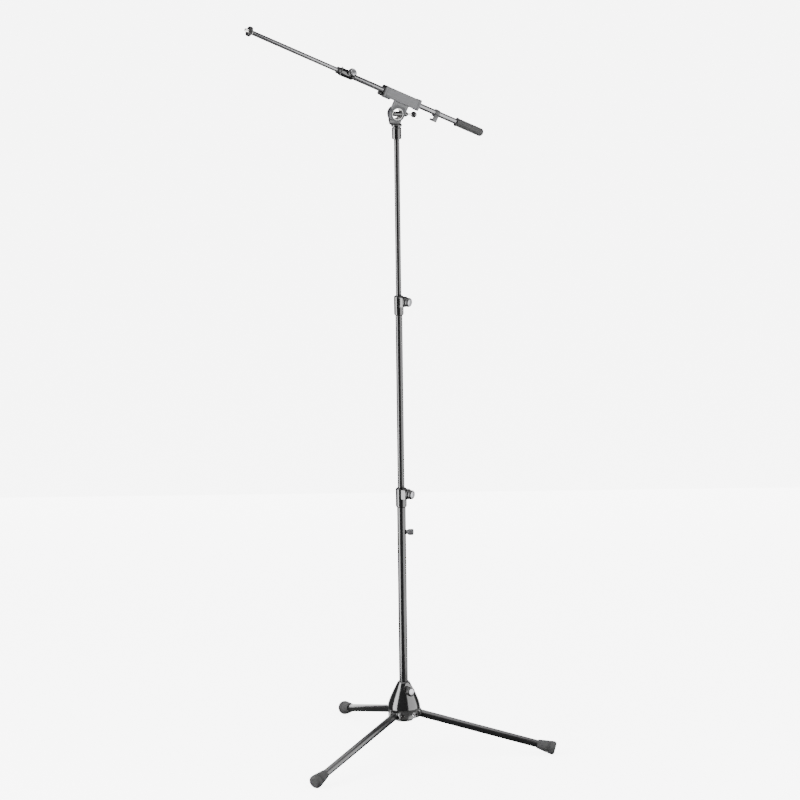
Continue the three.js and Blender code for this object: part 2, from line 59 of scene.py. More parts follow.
LOWER_TUBE = 12.5  # radii of the tubes, from the floor up
MIDDLE_TUBE = 10
UPPER_ROD = 8
BOOM_TUBE = 8
BOOM_INNER_TUBE = 6.5
LEG_TUBE = 11
SCREW = 3  # radius of each clamp screw
PIN = 3  # radius of each leg pin
CLAMP_LENGTH = 54  # height of a column clamp

record = frame["record"]
joints = {joint["name"]: joint for joint in frame["joints"]}
slot_of = {entry["node"]: entry["material_slot"] for entry in record["subparts"]}
body_of = {node: body for body, nodes in record["behaviour"]["bodies"].items() for node in nodes}


# ------------------------------------------------------------------ places in the frame


def place(origin, up, across):
    """A matrix from local millimetres to the row frame: Z along up, X along across."""
    z = Vector(up).normalized()
    x = Vector(across)
    x = (x - z * x.dot(z)).normalized()
    turn = Matrix((x, z.cross(x), z)).transposed().to_4x4()
    return Matrix.Translation(Vector(origin)) @ turn @ Matrix.Scale(MM, 4)


def middle(node):
    low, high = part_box(node)
    return (low + high) / 2


def joint_axis(name):
    return Vector(joints[name]["axis"])


def joint_point(name):
    return Vector(joints[name]["pos_m"])


UP = Vector((0, 0, 1))
COLUMN = middle("lower_tube").to_2d()
PIVOT = joint_point("boom_tilt")
BOOM_WAY = joint_axis("boom_extend")
TILT_AXIS = Vector((0, 1, 0))
BOOM_UP = BOOM_WAY.cross(TILT_AXIS)
BOOM_LIFT = 46  # the boom's axis over the tilt axis, in millimetres
SLEEVE_CENTRE = PIVOT + BOOM_UP * (BOOM_LIFT * MM)


def on_column(height, across=(1, 0, 0)):
    """Local frame on the column's axis, with its zero at a height in millimetres."""
    return place((*COLUMN, height * MM), UP, across)


def on_boom(across=BOOM_UP):
    """Local frame on the boom's axis: Z points to the tip and its zero is at the sleeve's middle."""
    return place(SLEEVE_CENTRE, BOOM_WAY, across)


def top_of(node):
    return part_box(node)[1].z / MM


def bottom_of(node):
    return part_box(node)[0].z / MM


# ------------------------------------------------------------------ node materials


def node_material(name, color, roughness, metallic=0.0, specular=0.5, coat=0.0):
    material = bpy.data.materials.new(name)
    material.use_nodes = True
    shader = material.node_tree.nodes["Principled BSDF"]
    shader.inputs["Base Color"].default_value = (*color, 1)
    shader.inputs["Roughness"].default_value = roughness
    shader.inputs["Metallic"].default_value = metallic
    shader.inputs["Specular IOR Level"].default_value = specular
    shader.inputs["Coat Weight"].default_value = coat
    shader.inputs["Coat Roughness"].default_value = 0.08
    return material, material.node_tree, shader


def noise(tree, scale, detail=2.0, stretch=(1, 1, 1)):
    """Noise in object coordinates, in features per metre."""
    coordinates = tree.nodes.new("ShaderNodeTexCoord")
    mapping = tree.nodes.new("ShaderNodeMapping")
    mapping.inputs["Scale"].default_value = stretch
    texture = tree.nodes.new("ShaderNodeTexNoise")
    texture.inputs["Scale"].default_value = scale
    texture.inputs["Detail"].default_value = detail
    tree.links.new(coordinates.outputs["Object"], mapping.inputs["Vector"])
    tree.links.new(mapping.outputs["Vector"], texture.inputs["Vector"])
    return texture.outputs["Fac"]


def add_bump(tree, shader, height, depth_mm, strength=1.0):
    bump = tree.nodes.new("ShaderNodeBump")
    bump.inputs["Distance"].default_value = depth_mm * MM
    bump.inputs["Strength"].default_value = strength
    tree.links.new(height, bump.inputs["Height"])
    tree.links.new(bump.outputs["Normal"], shader.inputs["Normal"])


def vary(tree, shader, source, socket, low, high):
    """Spreads a noise between two values, or two colours, on one socket of the shader."""
    ramp = tree.nodes.new("ShaderNodeValToRGB")
    colors = [value if isinstance(value, tuple) else (value,) * 3 for value in (low, high)]
    for stop, position, color in zip(ramp.color_ramp.elements, (0.3, 0.7), colors):
        stop.position = position
        stop.color = (*color, 1)
    tree.links.new(source, ramp.inputs["Fac"])
    tree.links.new(ramp.outputs["Color"], shader.inputs[socket])


def worn_edges(tree, shader, source, low, high, worn):
    """A coat that varies between two colours, with its sharp edges worn to a paler one."""
    coat = tree.nodes.new("ShaderNodeMix")
    coat.data_type = "RGBA"
    coat.inputs["A"].default_value = (*low, 1)
    coat.inputs["B"].default_value = (*high, 1)
    tree.links.new(source, coat.inputs["Factor"])
    geometry = tree.nodes.new("ShaderNodeNewGeometry")
    edge = tree.nodes.new("ShaderNodeMapRange")
    edge.inputs["From Min"].default_value = 0.56
    edge.inputs["From Max"].default_value = 0.66
    tree.links.new(geometry.outputs["Pointiness"], edge.inputs["Value"])
    finish = tree.nodes.new("ShaderNodeMix")
    finish.data_type = "RGBA"
    tree.links.new(edge.outputs["Result"], finish.inputs["Factor"])
    tree.links.new(coat.outputs["Result"], finish.inputs["A"])
    finish.inputs["B"].default_value = (*worn, 1)
    tree.links.new(finish.outputs["Result"], shader.inputs["Base Color"])


def gloss_casting():
    """Glossy black enamel over a die casting, with a faint orange peel and paler worn edges."""
    material, tree, shader = node_material("gloss_casting", (0.004, 0.004, 0.0045), 0.16, coat=0.4)
    vary(tree, shader, noise(tree, 160), "Roughness", 0.12, 0.2)
    enamel = noise(tree, 40)
    worn_edges(tree, shader, enamel, (0.003, 0.003, 0.0032), (0.006, 0.006, 0.0063), (0.03, 0.03, 0.03))
    add_bump(tree, shader, noise(tree, 420), 0.015, 0.4)
    return material


def satin_casting():
    """Fine-grained satin grey-black coat of the boom sleeve."""
    material, tree, shader = node_material("satin_casting", (0.035, 0.036, 0.038), 0.4, specular=0.3)
    grain = noise(tree, 1100, 4)
    vary(tree, shader, grain, "Roughness", 0.34, 0.48)
    worn_edges(tree, shader, grain, (0.016, 0.0165, 0.018), (0.05, 0.051, 0.055), (0.1, 0.1, 0.105))
    add_bump(tree, shader, grain, 0.08, 0.9)
    return material


def coated_tube():
    """Semi-gloss black powder coat on the column and legs."""
    material, tree, shader = node_material("coated_tube", (0.005, 0.005, 0.0055), 0.22, coat=0.2)
    vary(tree, shader, noise(tree, 500, 2), "Roughness", 0.2, 0.26)
    vary(tree, shader, noise(tree, 60), "Base Color", (0.004, 0.004, 0.0044), (0.0065, 0.0065, 0.007))
    add_bump(tree, shader, noise(tree, 260, 1), 0.004, 0.3)
    return material


def boom_coat_with_painted_sheen():
    """The boom's satin coat, with a base colour far paler than the column's black: a painted sheen that stands in
    for the light along the tube.
    """
    # painted sheen: a grey base in place of the black coat, to paint in the light the lamps put along the tube
    painted_sheen_grey = (0.1, 0.1, 0.104)
    material, tree, shader = node_material("boom_coat_with_painted_sheen", painted_sheen_grey, 0.26, 0.7, specular=0.9, coat=0.6)
    vary(tree, shader, noise(tree, 500, 2), "Roughness", 0.24, 0.28)
    vary(tree, shader, noise(tree, 90), "Base Color", (0.095, 0.095, 0.1), (0.12, 0.12, 0.125))
    add_bump(tree, shader, noise(tree, 260, 1), 0.004, 0.3)
    return material


def moulded_plastic(name, color, roughness):
    """Moulded plastic with a fine spark-eroded grain."""
    material, tree, shader = node_material(name, color, roughness, specular=0.45)
    lighter = tuple(min(1, channel * 1.3) for channel in color)
    worn = tuple(min(1, channel * 3) for channel in color)
    worn_edges(tree, shader, noise(tree, 1400, 3), color, lighter, worn)
    vary(tree, shader, noise(tree, 900), "Roughness", roughness - 0.05, roughness + 0.05)
    add_bump(tree, shader, noise(tree, 2600, 3), 0.02, 0.6)
    return material


def foot_rubber():
    """Matte rubber, dusty in its pores."""
    material, tree, shader = node_material("foot_rubber", (0.02, 0.02, 0.02), 0.75, specular=0.35)
    dust = noise(tree, 600, 4)
    worn_edges(tree, shader, dust, (0.016, 0.016, 0.0165), (0.026, 0.026, 0.0265), (0.05, 0.05, 0.05))
    vary(tree, shader, noise(tree, 500), "Roughness", 0.66, 0.82)
    add_bump(tree, shader, noise(tree, 1800, 4), 0.04, 0.8)
    return material


def grip_rubber():
    """The grip's softer rubber; its ribs are in the mesh."""
    material, tree, shader = node_material("grip_rubber", (0.03, 0.03, 0.03), 0.68, specular=0.35)
    vary(tree, shader, noise(tree, 420, 4), "Base Color", (0.018, 0.018, 0.0185), (0.044, 0.044, 0.0445))
    vary(tree, shader, noise(tree, 700), "Roughness", 0.6, 0.76)
    add_bump(tree, shader, noise(tree, 3000, 3), 0.02, 0.7)
    return material


def plated(name, color, roughness):
    """Plated or brushed metal with fine scratches."""
    material, tree, shader = node_material(name, color, roughness, metallic=1.0)
    scratches = noise(tree, 300, 3, stretch=(1, 1, 14))
    vary(tree, shader, scratches, "Roughness", roughness - 0.03, roughness + 0.05)
    darker = tuple(channel * 0.9 for channel in color)
    vary(tree, shader, noise(tree, 120, 3), "Base Color", darker, color)
    add_bump(tree, shader, scratches, 0.004, 0.3)
    return material


MATERIALS = {
    "cast_gloss": gloss_casting(),
    "cast_satin": satin_casting(),
    "tube_black": coated_tube(),
    "plastic_black": moulded_plastic("black_plastic", (0.004, 0.004, 0.0043), 0.34),
    "plastic_grey": moulded_plastic("grey_plastic", (0.032, 0.032, 0.034), 0.48),
    "rubber": foot_rubber(),
    "grip_rubber": grip_rubber(),
    "nickel": plated("nickel_plate", (0.74, 0.73, 0.7), 0.16),
    "zinc_steel": plated("zinc_plate", (0.5, 0.5, 0.49), 0.3),
    "badge": plated("badge_aluminium", (0.36, 0.36, 0.375), 0.36),
}
# the boom tubes' coat, with its painted sheen in the base colour
BOOM_COAT_WITH_PAINTED_SHEEN = boom_coat_with_painted_sheen()


# ------------------------------------------------------------------ mesh drawing


def fillet(points, radius=0.6, steps=3):
    """Rounds each inner corner of an outline. The two ends stay as they are."""
    rounded = [points[0]]
    for before, corner, after in zip(points, points[1:], points[2:]):
        here = Vector(corner)
        back = Vector(before) - here
        ahead = Vector(after) - here
        reach = min(radius, back.length * 0.45, ahead.length * 0.45)
        start = here + back.normalized() * reach
        end = here + ahead.normalized() * reach
        for step in range(steps + 1):
            t = step / steps
            arriving = start * (1 - t) + here * t
            leaving = here * (1 - t) + end * t
            rounded.append(tuple(arriving * (1 - t) + leaving * t))
    rounded.append(points[-1])
    return rounded


def arc(centre, radius, start, end, steps=8):
    """Points of a round in an outline, from one angle to another, in degrees."""
    angles = [math.radians(start + (end - start) * step / steps) for step in range(steps + 1)]
    return [(centre[0] + radius * math.cos(a), centre[1] + radius * math.sin(a)) for a in angles]


def lathe(profile, sides=ROUND, shape=None):
    """Revolves [radius, height] points about Z. `shape` may move a point by its angle."""
    sketch = bmesh.new()
    closed = (Vector(profile[0]) - Vector(profile[-1])).length < 1e-6
    points = profile[:-1] if closed else profile
    rows = []
    for side in range(sides):
        angle = 2 * math.pi * side / sides
        row = []
        for radius, height in points:
            r, z = shape(radius, height, angle) if shape else (radius, height)
            row.append(sketch.verts.new((r * math.cos(angle), r * math.sin(angle), z)))
        rows.append(row)
    spans = len(points) if closed else len(points) - 1
    for side in range(sides):
        this, following = rows[side], rows[(side + 1) % sides]
        for index in range(spans):
            other = (index + 1) % len(points)
            sketch.faces.new((this[index], following[index], following[other], this[other]))
    bmesh.ops.remove_doubles(sketch, verts=sketch.verts, dist=1e-4)
    bmesh.ops.dissolve_degenerate(sketch, edges=sketch.edges, dist=1e-5)
    bmesh.ops.recalc_face_normals(sketch, faces=sketch.faces)
    return sketch


def slab(outline_points, low, high):
    """A flat outline in X and Y, raised along Z."""
    sketch = bmesh.new()
    face = sketch.faces.new([sketch.verts.new((x, y, low)) for x, y in outline_points])
    raised = bmesh.ops.extrude_face_region(sketch, geom=[face])
    tops = [item for item in raised["geom"] if isinstance(item, bmesh.types.BMVert)]
    bmesh.ops.translate(sketch, vec=(0, 0, high - low), verts=tops)
    bmesh.ops.recalc_face_normals(sketch, faces=sketch.faces)
    return sketch


def rounded_rectangle(half_x, half_y, corner, steps=6):
    points = []
    for sign_x, sign_y, start in ((1, 1, 0), (-1, 1, 90), (-1, -1, 180), (1, -1, 270)):
        centre = (sign_x * (half_x - corner), sign_y * (half_y - corner))
        points += arc(centre, corner, start, start + 90, steps)
    return points


def rod(radius, low, high, sides=48):
    return lathe([(0, low), (radius, low), (radius, high), (0, high)], sides)


def turned_about(sketch, matrix):
    """The sketch moved by a local matrix, still in millimetres."""
    bmesh.ops.transform(sketch, matrix=matrix, verts=sketch.verts)
    return sketch


ALONG_X = Matrix.Rotation(math.radians(90), 4, "Y")
ALONG_Y = Matrix.Rotation(math.radians(-90), 4, "X")


def shift(x=0, y=0, z=0):
    return Matrix.Translation((x, y, z))


def spin(degrees):
    return Matrix.Rotation(math.radians(degrees), 4, "Z")


def as_object(name, sketch):
    mesh = bpy.data.meshes.new(name)
    sketch.to_mesh(mesh)
    sketch.free()
    shown = bpy.data.objects.new(name, mesh)
    bpy.context.scene.collection.objects.link(shown)
    return shown


def combine(base, tools, operation):
    """Applies a boolean of each tool to the base, both given as sketches, and returns a sketch."""
    body = as_object("boolean_base", base)
    for tool_sketch in tools:
        tool = as_object("boolean_tool", tool_sketch)
        modifier = body.modifiers.new("boolean", "BOOLEAN")
        modifier.operation = operation
        modifier.solver = "EXACT"
        modifier.object = tool
        bpy.context.view_layer.update()
        evaluated = body.evaluated_get(bpy.context.evaluated_depsgraph_get())
        result = bpy.data.meshes.new_from_object(evaluated)
        body.modifiers.clear()
        body.data = result
        bpy.data.objects.remove(tool)
    sketch = bmesh.new()
    sketch.from_mesh(body.data)
    bpy.data.objects.remove(body)
    bmesh.ops.remove_doubles(sketch, verts=sketch.verts, dist=1e-3)
    return sketch


def cut(base, *tools):
    return combine(base, tools, "DIFFERENCE")


def joined(base, *others):
    return combine(base, others, "UNION")


def piece(node, sketch, local, bevel=0.0, material=None, smooth=35):
    """Puts a fine mesh in the place of its CAD node and gives it that node's finish."""
    bmesh.ops.transform(sketch, matrix=local, verts=sketch.verts)
    shown = as_object(f"{node}_fine", sketch)
    shown.data.shade_smooth()
    shown.data.set_sharp_from_angle(angle=math.radians(smooth))
    shown.data.materials.append(material or MATERIALS[slot_of[node]])
    if bevel:
        modifier = shown.modifiers.new("edges", "BEVEL")
        modifier.width = bevel * MM
        modifier.segments = 2
        modifier.limit_method = "ANGLE"
        modifier.angle_limit = math.radians(40)
        modifier.use_clamp_overlap = True
        modifier.harden_normals = True
    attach(shown, body_of[node])
    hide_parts(node)
    return shown


# ------------------------------------------------------------------ tubes


def tube_sketch(radius, low, high):
    """A tube along Z with rounded rims."""
    inner = radius - WALL
    outline = [(inner, low), (radius, low), (radius, high), (inner, high), (inner, low)]
    return lathe(fillet(outline, 0.35, 2), 64)


def column_tubes():
    """The three column tubes; the lower one has the hole of the cable hook's rivet."""
    for node, radius in (("lower_tube", LOWER_TUBE), ("middle_tube", MIDDLE_TUBE), ("upper_rod", UPPER_ROD)):
        low = bottom_of(node)
        sketch = tube_sketch(radius, 0, top_of(node) - low)
        if node == "lower_tube":
            sideways = spin(HOOK_ANGLE) @ shift(z=HOOK_HEIGHT - low) @ ALONG_X
            hole = turned_about(rod(HOOK_RIVET + FIT, 5, 20), sideways)
            sketch = cut(sketch, hole)
        piece(node, sketch, on_column(low))


def boom_tubes():
    piece("boom_tube", tube_sketch(BOOM_TUBE, -262, 176), on_boom(), material=BOOM_COAT_WITH_PAINTED_SHEEN)
    piece("boom_inner_tube", tube_sketch(BOOM_INNER_TUBE, 40, 503), on_boom(), material=BOOM_COAT_WITH_PAINTED_SHEEN)


# ------------------------------------------------------------------ knobs and clamps


def knob_sketch(radius, badge, length):
    """A knob along Z: two steps when long, one when flat, with fine finger flutes round its rim."""
    pocket = badge + 0.3
    bore = SCREW + FIT
    flat = length < 12
    if flat:
        side = [(radius, 1), (radius, length - 2.5), (radius - 1.5, length)]
    else:
        side = [(radius, 1), (radius, 5), (radius - 3, 6.2), (radius - 3, 7.2), (radius - 0.8, 8.8),
                (radius - 0.8, 14), (radius - 2.5, length)]
    depth = 4 if flat else 8
    profile = fillet([
        (0, depth), (bore, depth), (bore, 0), (radius - 1, 0), *side,
        (pocket, length), (pocket, length - 1.5), (0, length - 1.5),
    ], 0.7)
    low, high = (1.5, length - 1.2) if flat else (8.5, 15.5)

    def fluted(r, z, angle):
        if r < radius - 2 or not low < z < high:
            return r, z
        ripple = 0.5 - 0.5 * math.cos(40 * angle)
        return r - 0.15 * ripple, z

    return lathe(profile, 168, fluted)


def badge_sketch(radius):
    """A plain metal disc with a turned ring near its edge."""
    return lathe(fillet([
        (0, 0), (radius, 0), (radius, 1.1), (radius - 1.2, 1.4), (radius - 1.5, 1.1),
        (radius - 2.1, 1.1), (radius - 2.4, 1.4), (0, 1.55),
    ], 0.15, 2), 64)


def knob_set(name, start, radius, badge, joint, length=17):
    """The turning pieces of one clamp, from the joint's axis. `start` is the knob's foot."""
    axis = joint_axis(joint)
    local = place(axis_foot(joint), axis, UP)
    knob = turned_about(knob_sketch(radius, badge, length), shift(z=start))
    piece(f"{name}_knob", knob, local, smooth=30)
    piece(f"{name}_badge", turned_about(badge_sketch(badge), shift(z=start + length - 1.2)), local)


def axis_foot(joint):
    """The point where a knob's axis meets the axis of the tube it clamps."""
    point = joint_point(joint)
    if joint == "boom_knob_turn":
        return SLEEVE_CENTRE + BOOM_WAY * (point - SLEEVE_CENTRE).dot(BOOM_WAY)
    return Vector((*COLUMN, point.z))


def clamp_housing(tube, housing, reach, half):
    """A die-cast clamp: a round body with a rounded lower end and a square boss for its screw."""
    length = CLAMP_LENGTH
    shell = lathe(fillet([
        (0, 0), (housing - 2.4, 0), (housing - 0.3, 2.2), (housing, 5), (housing, length), (0, length),
    ], 0.9), ROUND)
    boss = slab(rounded_rectangle((length - 26) / 2, half, 1.4), 2, reach)
    boss = turned_about(boss, shift(z=length - 15) @ ALONG_X)
    ring_pad = turned_about(rod(6.2, reach - 2, reach + 0.2), shift(z=length - 14) @ ALONG_X)
    bore = lathe([(0, -1), (tube + FIT, -1), (tube + FIT, length + 1), (0, length + 1)], ROUND)
    screw_hole = turned_about(rod(SCREW + FIT, 0, reach + 9), shift(z=length - 14) @ ALONG_X)
    return cut(joined(shell, boss, ring_pad), bore, screw_hole)


def clamp_bush(tube, inner, flange, height, start=36.3, length=CLAMP_LENGTH):
    """The split plastic collet inside a clamp, with its slit and flange."""
    bush = lathe(fillet([
        (inner + FIT, start), (tube, start), (tube, length + 0.3), (flange, length + 0.3),
        (flange, length + height), (inner + FIT, length + height), (inner + FIT, start),
    ], 0.3, 2), ROUND)
    slit = slab([(-20, -0.5), (0, -0.5), (0, 0.5), (-20, 0.5)], start - 6, length + height + 1)
    return cut(bush, slit)


def column_clamp(name, joint, tube, inner, housing, reach, half):
    """A clamp between two column tubes: tube is the outer one's radius and inner the sliding one's."""
    local = on_column(bottom_of(f"{name}_housing"), joint_axis(joint))
    piece(f"{name}_housing", clamp_housing(tube, housing, reach, half), local, bevel=0.5)
    piece(f"{name}_bush", clamp_bush(tube, inner, tube + 1, 1.6), local)
    knob_set(name, reach + 0.3, 14, 9.5, joint)


def boom_clamp():
    """The boom's clamp: a round housing, a flat knob low on its side and a small stud on top."""
    local = on_boom(joint_axis("boom_knob_turn")) @ shift(z=168)
    shell = lathe(fillet([
        (0, 0), (9.5, 0), (11.5, 2.5), (11.5, 21), (11.9, 22), (11.9, 42), (11, 43), (0, 43),
    ], 0.8), ROUND)
    knob_seat = rod(9, 2, 12)
    bore = rod(BOOM_TUBE + FIT, -1, 44, ROUND)
    stud = lathe(fillet([(0, 8), (2.2, 8), (2.2, 14.3), (0, 14.3)], 0.8), 32)
    stud = turned_about(stud, spin(57) @ shift(z=40.4) @ ALONG_X)
    screw_hole = turned_about(rod(SCREW + FIT, 0, 20), shift(z=12.5) @ ALONG_X)
    knob_seat = turned_about(knob_seat, shift(z=12.5) @ ALONG_X)
    housing = cut(joined(shell, knob_seat, stud), bore, screw_hole)
    piece("boom_clamp_housing", housing, local, bevel=0.4)
    piece("boom_clamp_bush", clamp_bush(BOOM_TUBE, BOOM_INNER_TUBE, 10, 10, start=8.3, length=43), local)
    knob_set("boom_clamp", 12.3, 13, 9, "boom_knob_turn", 9.5)


# ------------------------------------------------------------------ base


LEGS = (1, 2, 3)
LEG_SLOPE = 14.41  # degrees below level
PIVOT_RADIUS = 38  # from the column's axis to a leg pin
PIVOT_HEIGHT = joints["leg_1_fold"]["pos_m"][2] / MM
BAND_FOOT = 108  # heights on the bell
BELL_TOP = 210
EAR_NEAR = 12.4  # faces of a leg's ears, from the leg's middle
EAR_FAR = 18.4


def leg_angle(number):
    out = joint_point(f"leg_{number}_fold").to_2d() - COLUMN
    return math.degrees(math.atan2(out.y, out.x))


def bell_profile():
    """The bell: a satin band below and a convex skirt that draws in to the tube."""
    skirt = [(46.5, 133), (46.6, 137), (46, 142), (44, 150), (41, 158.5), (36.8, 169), (32.5, 178),
             (28.9, 186), (25, 193), (21.5, 200.5), (18.4, 206.5)]
    smooth = fillet(skirt, 5, 4)
    bore = LOWER_TUBE + FIT
    return [(42, BAND_FOOT), (44.4, BAND_FOOT), (45, BAND_FOOT + 0.7), (45, 130.6), (45.3, 131.4),
            (46.1, 131.8), *smooth, (17.4, 208.6), (16, 209.8), (14.4, BELL_TOP), (bore, 209.4),
            (bore, 172), (27, 172), (37, 152), (42, 131), (42, BAND_FOOT)]


def knob_recess(height):
    """Recess in the bell for its knob: round at the foot, flaring and open at the top."""
    foot = [(x, height + z) for x, z in arc((0, 0), 14, 180, 360, 24)]
    open_top = BELL_TOP + 5
    return slab([*foot, (17.5, open_top), (-17.5, open_top)], 18.5, 60)


def base_bell():
    """The bell with a pair of ears for each leg, the clamp screw's boss and its recess."""
    axis = joint_axis("base_knob_turn")
    knob_angle = math.degrees(math.atan2(axis.y, axis.x))
    knob_height = joint_point("base_knob_turn").z / MM
    sideways = spin(knob_angle) @ shift(z=knob_height) @ ALONG_X
    # the recess is drawn with X across, Y up and Z outward
    facing_knob = spin(knob_angle) @ Matrix(((0, 0, 1, 0), (1, 0, 0, 0), (0, 1, 0, 0), (0, 0, 0, 1)))
    added = []
    removed = []
    for number in LEGS:
        turn = spin(leg_angle(number))
        for near, far in ((-EAR_FAR, -EAR_NEAR), (EAR_NEAR, EAR_FAR)):
            ear = lathe(fillet([(0, near), (11.5, near), (11.5, far), (0, far)], 1.2), 64)
            added.append(turned_about(ear, turn @ shift(x=PIVOT_RADIUS, z=PIVOT_HEIGHT) @ ALONG_Y))
            rib = slab([(30, near), (42.5, near), (42.5, far), (30, far)], PIVOT_HEIGHT, 136)
            added.append(turned_about(rib, turn))
        gap = EAR_NEAR + 0.07
        opening = slab([(24, -gap), (60, -gap), (60, gap), (24, gap)], 100, 130.9)
        removed.append(turned_about(opening, turn))
        pin_hole = turned_about(rod(PIN + FIT, -30, 30), shift(x=PIVOT_RADIUS, z=PIVOT_HEIGHT) @ ALONG_Y)
        removed.append(turned_about(pin_hole, turn))
    boss = lathe(fillet([(0, 16), (9.5, 16), (9.5, 25.3), (0, 25.3)], 0.8), 64)
    screw_hole = turned_about(rod(SCREW + FIT, 5, 40), sideways)
    band_hole = turned_about(rod(3, 35, 50), spin(knob_angle) @ shift(z=118) @ ALONG_X)
    shell = cut(joined(lathe(bell_profile(), 144), *added), *removed, band_hole)
    shell = cut(shell, turned_about(knob_recess(knob_height), facing_knob))
    shell = cut(joined(shell, turned_about(boss, sideways)), screw_hole)
    piece("base_bell", shell, on_column(0), bevel=0.5, smooth=30)
    knob_set("base_clamp", 25.6, 12.7, 8.8, "base_knob_turn", 11)


def column_foot():
    """The cone on the column's lower end, with a spigot up into the tube."""
    spigot = LOWER_TUBE - WALL - FIT
    cone = lathe(fillet([
        (0, 96), (25, 96), (26, 97), (26, 101), (21, 110), (spigot, 110), (spigot, 130), (0, 130),
    ], 0.8))
    piece("column_foot", cone, on_column(0))


def leg_frame(number):
    """Local frame of a leg: X runs down the leg from its pivot and Y is the pin's axis."""
    pin = joint_axis(f"leg_{number}_fold")
    out = Vector((pin.y, -pin.x, 0))
    down = out * math.cos(math.radians(LEG_SLOPE)) - UP * math.sin(math.radians(LEG_SLOPE))
    return place(joint_point(f"leg_{number}_fold"), down.cross(pin), down)


def foot_profile():
    """A tapering rubber foot with two ring grooves and a rounded tread."""
    grooves = []
    for start in (384, 388.5):
        radius = 13 + 7 * (start - 354) / 43
        floor = radius - 0.9
        grooves += [(radius, start), (floor, start + 0.5), (floor, start + 1.5), (radius + 0.3, start + 2)]
    rim = fillet([(12, 353.99), (13, 354), (13.4, 356.5)], 0.5)
    shoulder = fillet([(19.0, 393.5), (19.6, 397.5), (19.6, 400)], 1.5)
    bore = LEG_TUBE + FIT
    return [(0, 396.3), (bore, 396.3), (bore, 354), *rim, *grooves, *shoulder,
            *arc((12, 400), 7.6, 6, 90, 10), (0, 407.6)]


def legs():
    """Each leg's knuckle, tube and rubber foot, cut flat where it stands."""
    for number in LEGS:
        local = leg_frame(number)
        eye = fillet([(0, -10.8), (10.8, -10.8), (10.8, 10.8), (0, 10.8)], 0.8)
        spigot = fillet([(0, 2), (10.8, 2), (10.8, 12.7), (9.6, 12.7), (9.6, 36), (0, 36)], 0.4)
        knuckle = joined(turned_about(lathe(eye, 64), ALONG_Y), turned_about(lathe(spigot, 64), ALONG_X))
        pin_hole = turned_about(rod(PIN + FIT, -15, 15), ALONG_Y)
        piece(f"leg_knuckle_{number}", cut(knuckle, pin_hole), local)
        piece(f"leg_tube_{number}", turned_about(tube_sketch(LEG_TUBE, 13, 396), ALONG_X), local)
        below = [(300, -30), (460, -30), (460, 30), (300, 30)]
        floor_cut = slab(below, -PIVOT_HEIGHT - 20, -PIVOT_HEIGHT)
        floor_cut = turned_about(floor_cut, Matrix.Rotation(math.radians(-LEG_SLOPE), 4, "Y"))
        foot = turned_about(lathe(foot_profile(), 72), ALONG_X)
        piece(f"rubber_foot_{number}", cut(foot, floor_cut), local, smooth=30)


# ------------------------------------------------------------------ small column pieces


HOOK_ANGLE = 150  # about the column, from +X
HOOK_HEIGHT = 649
HOOK_RIVET = 2.7


def cable_hook():
    """The cable holder riveted in the lower tube: a waisted barrel with a rounded head."""
    barrel = lathe(fillet([
        (0, 11.4), (HOOK_RIVET, 11.4), (HOOK_RIVET, 12), (6.2, 12), (6.2, 16.6), (8.4, 18.6), (9, 21),
        (9, 30.5), (8.2, 33), (6, 34), (0, 34),
    ], 1.2), 72)
    rivet = turned_about(rod(HOOK_RIVET, 5, 20), ALONG_X)
    saddle = cut(rod(LOWER_TUBE + FIT, -14, 14, ROUND), rivet)
    groove = slab([(23.6, -10), (25.2, -10), (25.2, 10), (23.6, 10)], 8.1, 10)
    whole = cut(turned_about(barrel, ALONG_X), saddle, groove)
    angle = math.radians(HOOK_ANGLE)
    piece("cable_hook", whole, on_column(HOOK_HEIGHT, (math.cos(angle), math.sin(angle), 0)))


# ------------------------------------------------------------------ tilt swivel


RING_HOLE = 16.5
RING_RADIUS = 22
RING_BACK = -15  # faces along the tilt axis; the two rings meet at about -4
SOCKET_FACE = -4.15
SLEEVE_FACE = -3.85
RING_FRONT = 10.5
SLEEVE_SIDE = 15  # half width of the sleeve
SLEEVE_BACK = -51
SLEEVE_FRONT = 65
SLEEVE_BUSH = 9.5
PLUG = 6
PLUG_DROP = 11.3  # of the plug's axis under the boom's
SHANK = 4  # radii of the clamp screw's pieces
BARREL = 7
HANDLE_ROD = 2.8


def swivel_ring(low, high, teeth_at_low, teeth=72):
    """A ring about Z with fine radial teeth on the face that meets the other ring."""
    face = low if teeth_at_low else high
    into = 0.5 if teeth_at_low else -0.5
    outline = fillet([
        (RING_HOLE, low), (19, low), (RING_RADIUS, low), (RING_RADIUS, high), (19, high),
        (RING_HOLE, high), (RING_HOLE, low),
    ], 0.8, 2)

    def tooth(r, z, angle):
        if abs(z - face) > 0.2:
            return r, z
        return r, z + into * abs(((angle * teeth / (2 * math.pi)) % 1) * 2 - 1)

    return lathe(outline, teeth * 4, tooth)


